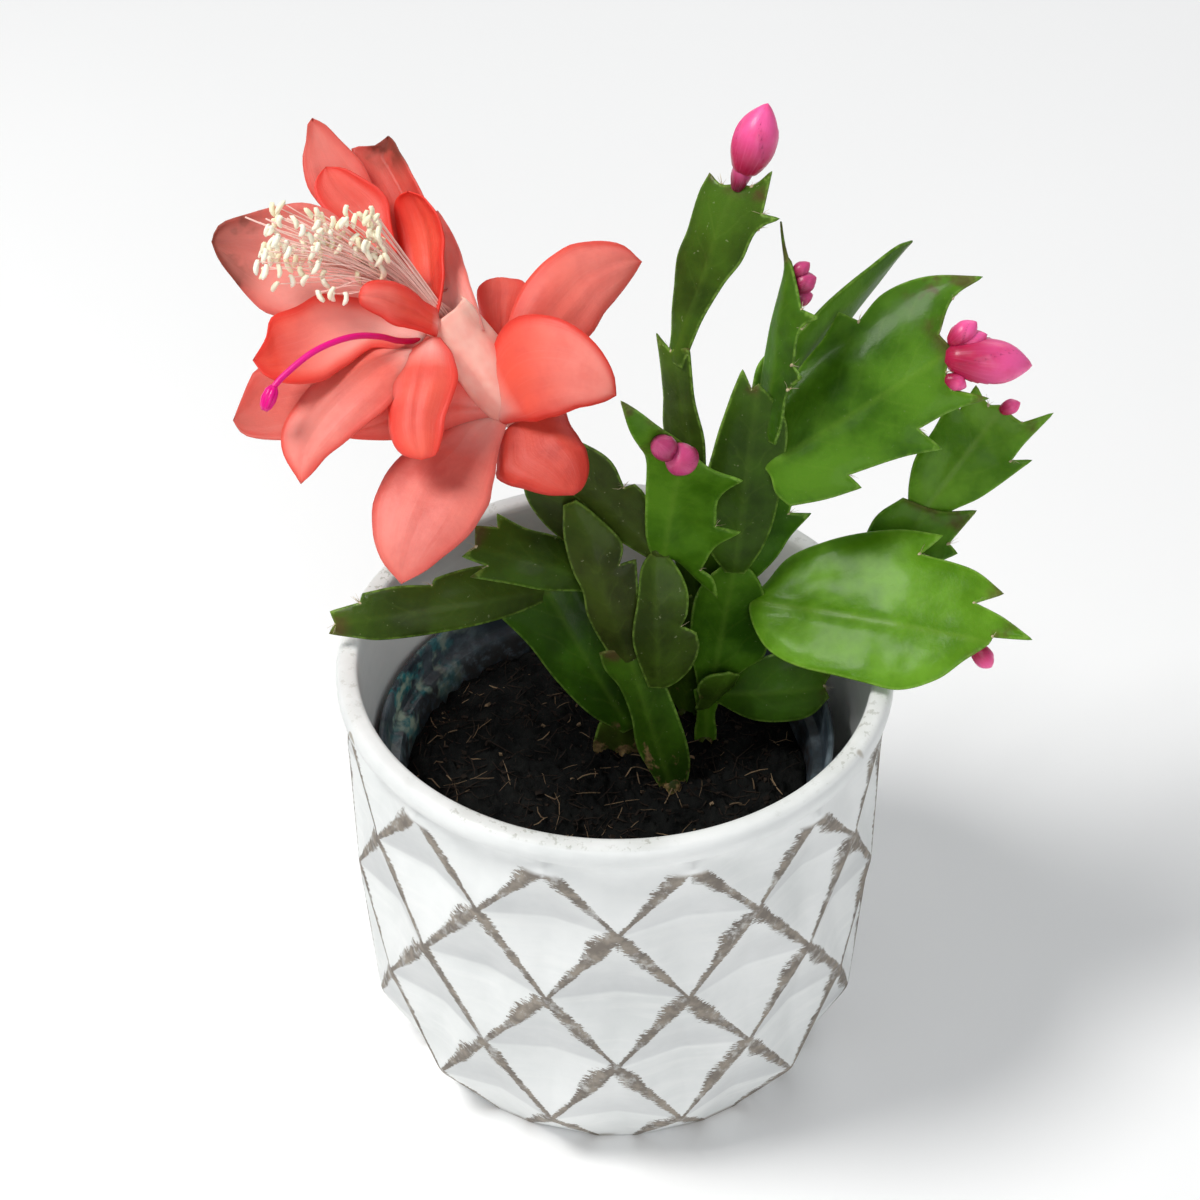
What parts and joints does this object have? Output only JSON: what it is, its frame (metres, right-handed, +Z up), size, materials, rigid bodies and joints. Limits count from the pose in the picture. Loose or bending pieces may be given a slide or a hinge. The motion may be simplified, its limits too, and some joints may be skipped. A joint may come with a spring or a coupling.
{
  "type": "potted christmas cactus",
  "caption": "Christmas cactus with toothed flat stems, an open layered bloom and buds, in a nursery pot that stands in a diamond-lattice cover pot.",
  "frame": {"origin": "middle of the cover pot's underside, on the plane it stands on", "axes": "+Z up; -Y is the front, the side the picture was taken from; +X is to the right as seen from the front"},
  "size_m": [0.1912, 0.13, 0.236],
  "materials": {
    "cover_pot_paint": "off-white painted ceramic, satin, ridges worn to taupe",
    "nursery_plastic": "dark slate thin plastic with a crust of lime and algae",
    "peat": "damp black-brown peat with fibres",
    "stem_green_dark": "waxy succulent stem, dark green",
    "stem_green_old": "waxy succulent stem with corky scars",
    "stem_green_fresh": "waxy succulent stem, fresh green",
    "stem_green_back": "waxy succulent stem, mid green",
    "stem_green_dull": "waxy succulent stem, dull green",
    "bud_magenta": "waxy magenta bud",
    "petal_coral": "thin coral petal, pink inside, redder at its edge",
    "stamen_cream": "cream pollen",
    "style_magenta": "waxy magenta"
  },
  "bodies": {
    "root": {"cover_pot": "cover_pot_paint", "nursery_pot": "nursery_plastic", "soil": "peat", "stem_left": "stem_green_dark", "stem_flower": "stem_green_old", "stem_trunk": "stem_green_fresh", "stem_right": "stem_green_back", "stem_tall": "stem_green_dull", "bud_top": "bud_magenta", "buds_narrow": "bud_magenta", "buds_broad": "bud_magenta", "bud_side": "bud_magenta", "bud_low": "bud_magenta", "buds_middle": "bud_magenta", "bloom_petals": "petal_coral", "bloom_stamens": "stamen_cream", "bloom_style": "style_magenta"}
  },
  "joints": []
}
